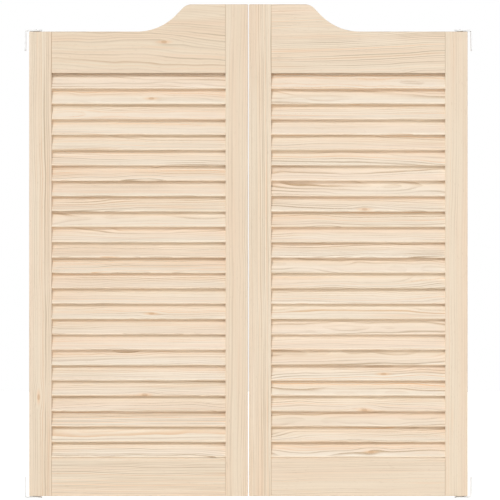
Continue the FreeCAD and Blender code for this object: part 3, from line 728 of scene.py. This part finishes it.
class DOORS_OT_stiles(bpy.types.Operator):
    """Gives the four stiles straight upright grain"""
    bl_idname = "cafe_doors.stiles"
    bl_label = "Stiles"

    def execute(self, context):
        wood = context.scene.doors_wood
        # Where each board's heart lies and its seed, then how close, wavy and strong its rings are
        boards = {
            "left_outer_stile": ((0.004, 0.090, 0.022), 4.11, 1.25, 0.35, 0.90),
            "left_inner_stile": ((-0.005, -0.150, 0.070), 5.48, 1.25, 0.35, 0.50),
            "right_inner_stile": ((0.006, 0.085, -0.030), 6.85, 1.60, 0.30, 1.20),
            "right_outer_stile": ((-0.004, -0.130, 0.055), 8.22, 1.25, 0.30, 0.45),
        }
        for node, board in boards.items():
            finish_node(node, board_material(wood, node, "Z", *board))
        return {"FINISHED"}


class DOORS_OT_rails(bpy.types.Operator):
    """Gives the top and bottom rails level grain, flat-sawn so that it arches here and there"""
    bl_idname = "cafe_doors.rails"
    bl_label = "Rails"

    def execute(self, context):
        wood = context.scene.doors_wood
        # Where each board's heart lies and its seed, then how close, wavy and strong its rings are
        boards = {
            "left_top_rail": ((0.050, -0.130, 0.050), 19.03, 1.10, 1.00, 0.95),
            "right_top_rail": ((-0.040, -0.110, 0.045), 20.76, 2.00, 0.40, 1.15),
            "left_bottom_rail": ((0.012, 0.140, 0.050), 30.5, 2.20, 0.45, 1.50),
            "right_bottom_rail": ((-0.010, -0.120, 0.045), 24.22, 2.50, 0.40, 0.80),
        }
        for node, board in boards.items():
            finish_node(node, board_material(wood, node, "X", *board))
        return {"FINISHED"}


class DOORS_OT_dowels(bpy.types.Operator):
    """Gives the rail dowels beech with short flecks"""
    bl_idname = "cafe_doors.dowels"
    bl_label = "Rail dowels"

    def execute(self, context):
        wood = context.scene.doors_wood
        material, graph, shader = new_material("dowel beech")
        place = object_place(graph)
        drift = graph.noise(place, (9.0, 160.0, 160.0), 2.0, 3.0).outputs["Fac"]
        tone = graph.blend(
            graph.step(drift, 0.3, 0.7), colour(wood.dowel, 0.72), colour(wood.dowel))
        fleck = graph.noise(place, (260.0, 1900.0, 1900.0), 4.0, 1.0).outputs["Fac"]
        fleck = graph.step(fleck, 0.60, 0.72)
        tone = graph.blend(graph.math("MULTIPLY", fleck, 0.5), tone, colour(wood.line))
        roughness = graph.math("MULTIPLY_ADD", fleck, -0.12, 0.58)
        finish(graph, shader, tone, roughness, graph.math("ADD", drift, fleck), 0.00012, 0.6)
        for side in SIDES:
            finish_node(side + "_rail_dowels", material)
        return {"FINISHED"}


class DOORS_OT_slats(bpy.types.Operator):
    """Models the louvre slats, each with its own bow and its own grain, in the frame's slots"""
    bl_idname = "cafe_doors.slats"
    bl_label = "Louvre slats"

    def execute(self, context):
        slats = context.scene.doors_slats
        wood = context.scene.doors_wood
        draw = random.Random(SLAT_DRAWS)
        pine = slat_material(wood, slats)
        pattern = blank_slat(slats)
        for side in SIDES:
            for group in GROUPS:
                self.build_group(pattern, side, group, slats, wood, draw, pine)
        bpy.data.objects.remove(pattern)
        return {"FINISHED"}

    def build_group(self, pattern, side, group, slats, wood, draw, pine):
        node = side + "_louvres_" + group
        low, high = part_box(node)
        middle_x = (low.x + high.x) / 2
        made = []
        for index in range(SLATS_IN_GROUP):
            take(pattern)
            bpy.ops.object.duplicate(linked=False)
            slat = bpy.context.object
            mark_grain(slat, wood, draw)
            slat.rotation_euler = Euler((math.pi / 2 - slats.tilt, 0, 0))
            slat.location = (middle_x, 0, low.z + index * SLAT_PITCH + SLAT_RISE / 2)
            bpy.ops.object.transform_apply(location=True, rotation=True, scale=True)
            bow_slat(slat, slats)
            made.append(slat)
        deselect_all()
        for slat in made:
            slat.select_set(True)
        bpy.context.view_layer.objects.active = made[0]
        bpy.ops.object.join()
        piece = bpy.context.object
        piece.name = side + "_slats_" + group
        piece.data.name = piece.name
        piece.data.materials.append(pine)
        bpy.ops.object.shade_smooth_by_angle(angle=SMOOTH_SLAT)
        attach(piece, side + "_door")
        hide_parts(node)


class DOORS_OT_jamb_brackets(bpy.types.Operator):
    """Gives the jamb brackets baked white paint, rubbed where the washers turn on them"""
    bl_idname = "cafe_doors.jamb_brackets"
    bl_label = "Jamb brackets"

    def execute(self, context):
        metal = context.scene.doors_metal
        for side in SIDES:
            material, graph, shader = new_material(side + " bracket paint")
            place = object_place(graph)
            peel = graph.noise(place, (850.0, 850.0, 850.0), 1.0, 2.0).outputs["Fac"]
            cloud = graph.noise(place, (55.0, 55.0, 55.0), 3.0, 3.0).outputs["Fac"]
            scuff = graph.noise(place, (320.0, 320.0, 90.0), 5.0, 3.0).outputs["Fac"]
            rubbed = self.washer_ring(graph, place, side)
            worn = graph.math(
                "MULTIPLY", graph.math("MULTIPLY_ADD", rubbed, 0.75, 0.12),
                graph.step(scuff, 0.48, 0.70))
            tone = graph.blend(
                graph.step(cloud, 0.3, 0.7), colour(metal.paint), colour(metal.paint, 0.93))
            tone = graph.blend(worn, tone, colour(metal.zinc, 0.5))
            roughness = graph.math(
                "ADD", graph.math("MULTIPLY_ADD", cloud, 0.14, 0.30),
                graph.math("MULTIPLY", worn, 0.25))
            relief = graph.math("SUBTRACT", peel, worn)
            finish(graph, shader, tone, roughness, relief, 0.00008, 0.5)
            for level in ("lower", "upper"):
                finish_node(side + "_" + level + "_bracket", material)
        return {"FINISHED"}

    def washer_ring(self, graph, place, side):
        """1 round the rim of the washer or flange, on the arms' faces that they turn on."""
        low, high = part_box(side + "_thrust_washer")
        rim = (high.x - low.x) / 2
        pivot = ((low.x + high.x) / 2, 0.0, 0.0)
        off_pivot = graph.vector(
            "MULTIPLY", graph.vector("SUBTRACT", place, pivot), (1.0, 1.0, 0.0))
        from_pivot = graph.vector("LENGTH", off_pivot)
        ring = graph.math(
            "MULTIPLY", graph.step(from_pivot, rim - RUB_REACH, rim - RUB_CORE),
            graph.step(from_pivot, rim + RUB_REACH, rim + RUB_CORE))

        # The washer lies on the lower arm, so it starts one arm's thickness up
        arm_thickness = low.z
        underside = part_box(side + "_upper_bracket")[1].z - arm_thickness
        below_top = graph.step(
            graph.split(place)[2], underside + RUB_FADE_TO, underside + RUB_FADE_FROM)
        return graph.math("MULTIPLY", ring, below_top)


class DOORS_OT_spring_pivots(bpy.types.Operator):
    """Finishes the pivots' metal and nylon, and copies their springs in tempered wire"""
    bl_idname = "cafe_doors.spring_pivots"
    bl_label = "Spring pivots"

    def execute(self, context):
        metal = context.scene.doors_metal
        finishes = {
            self.plated(metal): (
                "lower_spring_housing", "upper_pin_housing", "lower_plate_screws",
                "upper_plate_screws"),
            self.turned(metal): ("lower_spindle", "top_pin"),
            self.moulded(metal): ("lower_bush", "guide_bush", "thrust_washer", "upper_bush"),
        }
        for material, names in finishes.items():
            for name in names:
                for side in SIDES:
                    finish_node(side + "_" + name, material)
        wire = self.tempered(metal)
        for side in SIDES:
            self.wind_up(side, wire)
            self.press_down(side, wire)
        return {"FINISHED"}

    def supple(self, node, wire):
        """Copies a spring, merges its doubled points, shades it smooth, gives it the wire and hides
        the imported one.
        """
        spring = bpy.data.objects.new(node + "_wire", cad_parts[node].data.copy())
        bpy.context.collection.objects.link(spring)
        take(spring)
        bpy.ops.object.mode_set(mode="EDIT")
        bpy.ops.mesh.select_all(action="SELECT")
        bpy.ops.mesh.remove_doubles(threshold=MERGE_REACH)
        bpy.ops.object.mode_set(mode="OBJECT")
        bpy.ops.object.shade_smooth_by_angle(angle=SMOOTH_SPRING)
        spring.data.name = spring.name
        spring.data.materials.clear()
        spring.data.materials.append(wire)
        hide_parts(node)
        return spring

    def wind_up(self, side, wire):
        """Copies the return spring and bakes its place into its mesh; the real spring winds up
        between its tang in the door and its tang in the spindle.
        """
        node = side + "_return_spring"
        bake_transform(self.supple(node, wire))

    def press_down(self, side, wire):
        """Copies the pin spring, hangs it on the door and gives it its own mesh; the real spring
        shortens as far as the pin is pushed down.
        """
        node = side + "_pin_spring"
        spring = self.supple(node, wire)
        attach(spring, side + "_door")
        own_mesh(spring)

    def plated(self, metal):
        """Bright zinc: a grey spangle, fine scratches and a faint straw cast."""
        material, graph, shader = new_material("plated zinc")
        place = object_place(graph)
        spangle = graph.node("ShaderNodeTexVoronoi", {"Vector": place, "Scale": 420.0})
        spangle = graph.split(spangle.outputs["Color"])[0]
        cast = graph.noise(place, (70.0, 70.0, 70.0), 7.0, 3.0).outputs["Fac"]
        scratch = graph.noise(place, (180.0, 2600.0, 900.0), 9.0, 2.0).outputs["Fac"]
        straw = (metal.zinc[0], metal.zinc[1] * 0.93, metal.zinc[2] * 0.78)
        tone = graph.blend(spangle, colour(metal.zinc, 0.78), colour(metal.zinc))
        tone = graph.blend(graph.step(cast, 0.50, 0.75), tone, colour(straw))
        roughness = graph.math(
            "ADD", graph.math("MULTIPLY_ADD", spangle, 0.10, 0.26),
            graph.math("MULTIPLY", scratch, 0.16))
        finish(graph, shader, tone, roughness, scratch, 0.00005, 0.5, 1.0)
        return material

    def turned(self, metal):
        """Turned steel: fine tool rings round the axis and a little oil stain."""
        material, graph, shader = new_material("turned steel")
        place = object_place(graph)
        level = graph.join(0.0, 0.0, graph.split(place)[2])
        rings = graph.noise(level, (0.0, 0.0, 5200.0), 2.0, 2.0).outputs["Fac"]
        stain = graph.noise(place, (190.0, 190.0, 60.0), 6.0, 4.0).outputs["Fac"]
        tone = graph.blend(
            graph.step(stain, 0.45, 0.75), colour(metal.steel), colour(metal.steel, 0.66))
        roughness = graph.math("MULTIPLY_ADD", rings, 0.22, 0.16)
        finish(graph, shader, tone, roughness, rings, 0.00005, 0.6, 1.0)
        return material

    def tempered(self, metal):
        """Oil-tempered wire: dark, with drawn scratches and a brown bloom."""
        material, graph, shader = new_material("tempered wire")
        place = object_place(graph)
        bloom = graph.noise(place, (240.0, 240.0, 240.0), 8.0, 3.0).outputs["Fac"]
        drawn = graph.noise(place, (500.0, 500.0, 3000.0), 3.0, 2.0).outputs["Fac"]
        brown = (metal.spring[0] * 1.1, metal.spring[1] * 0.85, metal.spring[2] * 0.66)
        tone = graph.blend(graph.step(bloom, 0.40, 0.70), colour(metal.spring), colour(brown))
        roughness = graph.math("MULTIPLY_ADD", drawn, 0.24, 0.28)
        finish(graph, shader, tone, roughness, drawn, 0.00004, 0.5, 1.0)
        return material

    def moulded(self, metal):
        """Moulded nylon: off-white, slightly mottled, with faint flow marks."""
        material, graph, shader = new_material("moulded nylon")
        place = object_place(graph)
        flow = graph.noise(place, (160.0, 160.0, 420.0), 4.0, 3.0).outputs["Fac"]
        grime = graph.noise(place, (90.0, 90.0, 90.0), 9.0, 4.0).outputs["Fac"]
        tone = graph.blend(
            graph.step(grime, 0.50, 0.78), colour(metal.nylon), colour(metal.nylon, 0.84))
        roughness = graph.math("MULTIPLY_ADD", flow, 0.20, 0.36)
        finish(graph, shader, tone, roughness, flow, 0.00006, 0.4)
        shader.inputs["Subsurface Weight"].default_value = 0.12
        shader.inputs["Subsurface Radius"].default_value = (0.0012, 0.0010, 0.0008)
        return material


class DOORS_OT_stage(bpy.types.Operator):
    """Sets the floor, the even white room, the lamps and the camera"""
    bl_idname = "cafe_doors.stage"
    bl_label = "Stage"

    def execute(self, context):
        stage = context.scene.doors_stage
        self.lay_floor(stage)
        self.fill_room(context.scene, stage)
        self.hang_broad("key light", stage.key_strength, stage.softness, KEY_DIRECTION)
        self.hang_broad("back light", stage.back_strength, stage.softness, BACK_DIRECTION)
        self.hang_bounce(stage.bounce_power, BOUNCE_DIRECTION)
        for side, direction in SIDE_DIRECTIONS.items():
            self.hang_broad(
                side + " side light", stage.side_strength, stage.softness, direction)
        self.set_camera(context.scene, stage)
        context.scene.view_settings.view_transform = "Standard"
        return {"FINISHED"}

    def lay_floor(self, stage):
        deselect_all()
        bpy.ops.mesh.primitive_circle_add(
            vertices=FLOOR_SIDES, radius=FLOOR_RADIUS, fill_type="NGON")
        floor = bpy.context.object
        floor.name = "floor"
        material, graph, shader = new_material("pale floor")
        grain = graph.noise(object_place(graph), (30.0, 30.0, 30.0), 1.0, 4.0).outputs["Fac"]
        tone = graph.blend(grain, colour(stage.floor_colour), colour(stage.floor_colour, 0.97))
        graph.put(shader.inputs["Base Color"], tone)
        shader.inputs["Roughness"].default_value = 0.9
        shader.inputs["Specular IOR Level"].default_value = 0.1
        glow = graph.node("ShaderNodeEmission", {
            "Color": (1, 1, 1, 1),
            "Strength": graph.math("MULTIPLY", graph.seen_directly(), FLOOR_GLOW)})
        both = graph.node("ShaderNodeAddShader")
        graph.put(both.inputs[0], shader.outputs["BSDF"])
        graph.put(both.inputs[1], glow.outputs["Emission"])
        output = next(
            node for node in material.node_tree.nodes if node.type == "OUTPUT_MATERIAL")
        graph.put(output.inputs["Surface"], both.outputs["Shader"])
        floor.data.materials.append(material)

    def fill_room(self, scene, stage):
        world = bpy.data.worlds.new("white room")
        scene.world = world
        world.use_nodes = True
        world.node_tree.nodes.clear()
        graph = Graph(world.node_tree)
        back = graph.node("ShaderNodeBackground", {
            "Color": (1, 1, 1, 1),
            "Strength": graph.math("MAXIMUM", graph.seen_directly(), stage.sky)})
        graph.node("ShaderNodeOutputWorld", {"Surface": back.outputs["Background"]})

    def hang_broad(self, name, strength, softness, direction):
        """A light as even as a distant wall of lamps."""
        light = bpy.data.lights.new(name, "SUN")
        light.energy = strength
        light.angle = softness
        self.hang(light, direction, BROAD_DISTANCE)

    def hang_bounce(self, power, direction):
        """A low broad lamp close in front, in place of light thrown back by a studio's table."""
        light = bpy.data.lights.new("bounce light", "AREA")
        light.energy = power
        light.size = BOUNCE_SIZE
        self.hang(light, direction, BOUNCE_DISTANCE)

    def hang(self, light, direction, distance):
        """Puts a light off in a direction from the middle of the doors, and turns it to them."""
        lamp = bpy.data.objects.new(light.name, light)
        bpy.context.scene.collection.objects.link(lamp)
        middle = Vector((0, 0, (CAD_LOW.z + CAD_HIGH.z) / 2))
        toward = Vector(direction).normalized()
        lamp.location = middle + toward * distance
        lamp.rotation_euler = toward.to_track_quat("Z", "Y").to_euler()
        lamp.visible_camera = False

    def set_camera(self, scene, stage):
        lens = bpy.data.cameras.new("camera")
        lens.lens = lens.sensor_width * stage.camera_distance / stage.view_width
        lens.clip_end = LENS_REACH
        camera = bpy.data.objects.new("camera", lens)
        scene.collection.objects.link(camera)
        camera.location = VIEW_CENTRE - Vector((0, stage.camera_distance, 0))
        camera.rotation_euler = (math.pi / 2, 0, 0)
        scene.camera = camera


class DOORS_PT_panel(bpy.types.Panel):
    """Lists what dresses the doors, and the sizes and colours it works from"""
    bl_idname = "DOORS_PT_panel"
    bl_label = "Cafe doors"
    bl_space_type = "VIEW_3D"
    bl_region_type = "UI"
    bl_category = "Cafe doors"

    def draw(self, context):
        for operator in OPERATORS:
            self.layout.operator(operator.bl_idname)
        for name, group in SETTINGS.items():
            box = self.layout.box()
            settings = getattr(context.scene, name)
            for setting in group.__annotations__:
                box.prop(settings, setting)


OPERATORS = (
    DOORS_OT_stage,
    DOORS_OT_stiles,
    DOORS_OT_rails,
    DOORS_OT_dowels,
    DOORS_OT_slats,
    DOORS_OT_jamb_brackets,
    DOORS_OT_spring_pivots,
)
CLASSES = (*SETTINGS.values(), *OPERATORS, DOORS_PT_panel)


def register():
    for one in CLASSES:
        bpy.utils.register_class(one)
    for name, group in SETTINGS.items():
        setattr(bpy.types.Scene, name, PointerProperty(type=group))


def unregister():
    for name in SETTINGS:
        delattr(bpy.types.Scene, name)
    for one in reversed(CLASSES):
        bpy.utils.unregister_class(one)


def main():
    register()
    bpy.ops.cafe_doors.stage()
    bpy.ops.cafe_doors.stiles()
    bpy.ops.cafe_doors.rails()
    bpy.ops.cafe_doors.dowels()
    bpy.ops.cafe_doors.slats()
    bpy.ops.cafe_doors.jamb_brackets()
    bpy.ops.cafe_doors.spring_pivots()


if __name__ == "__main__":
    main()
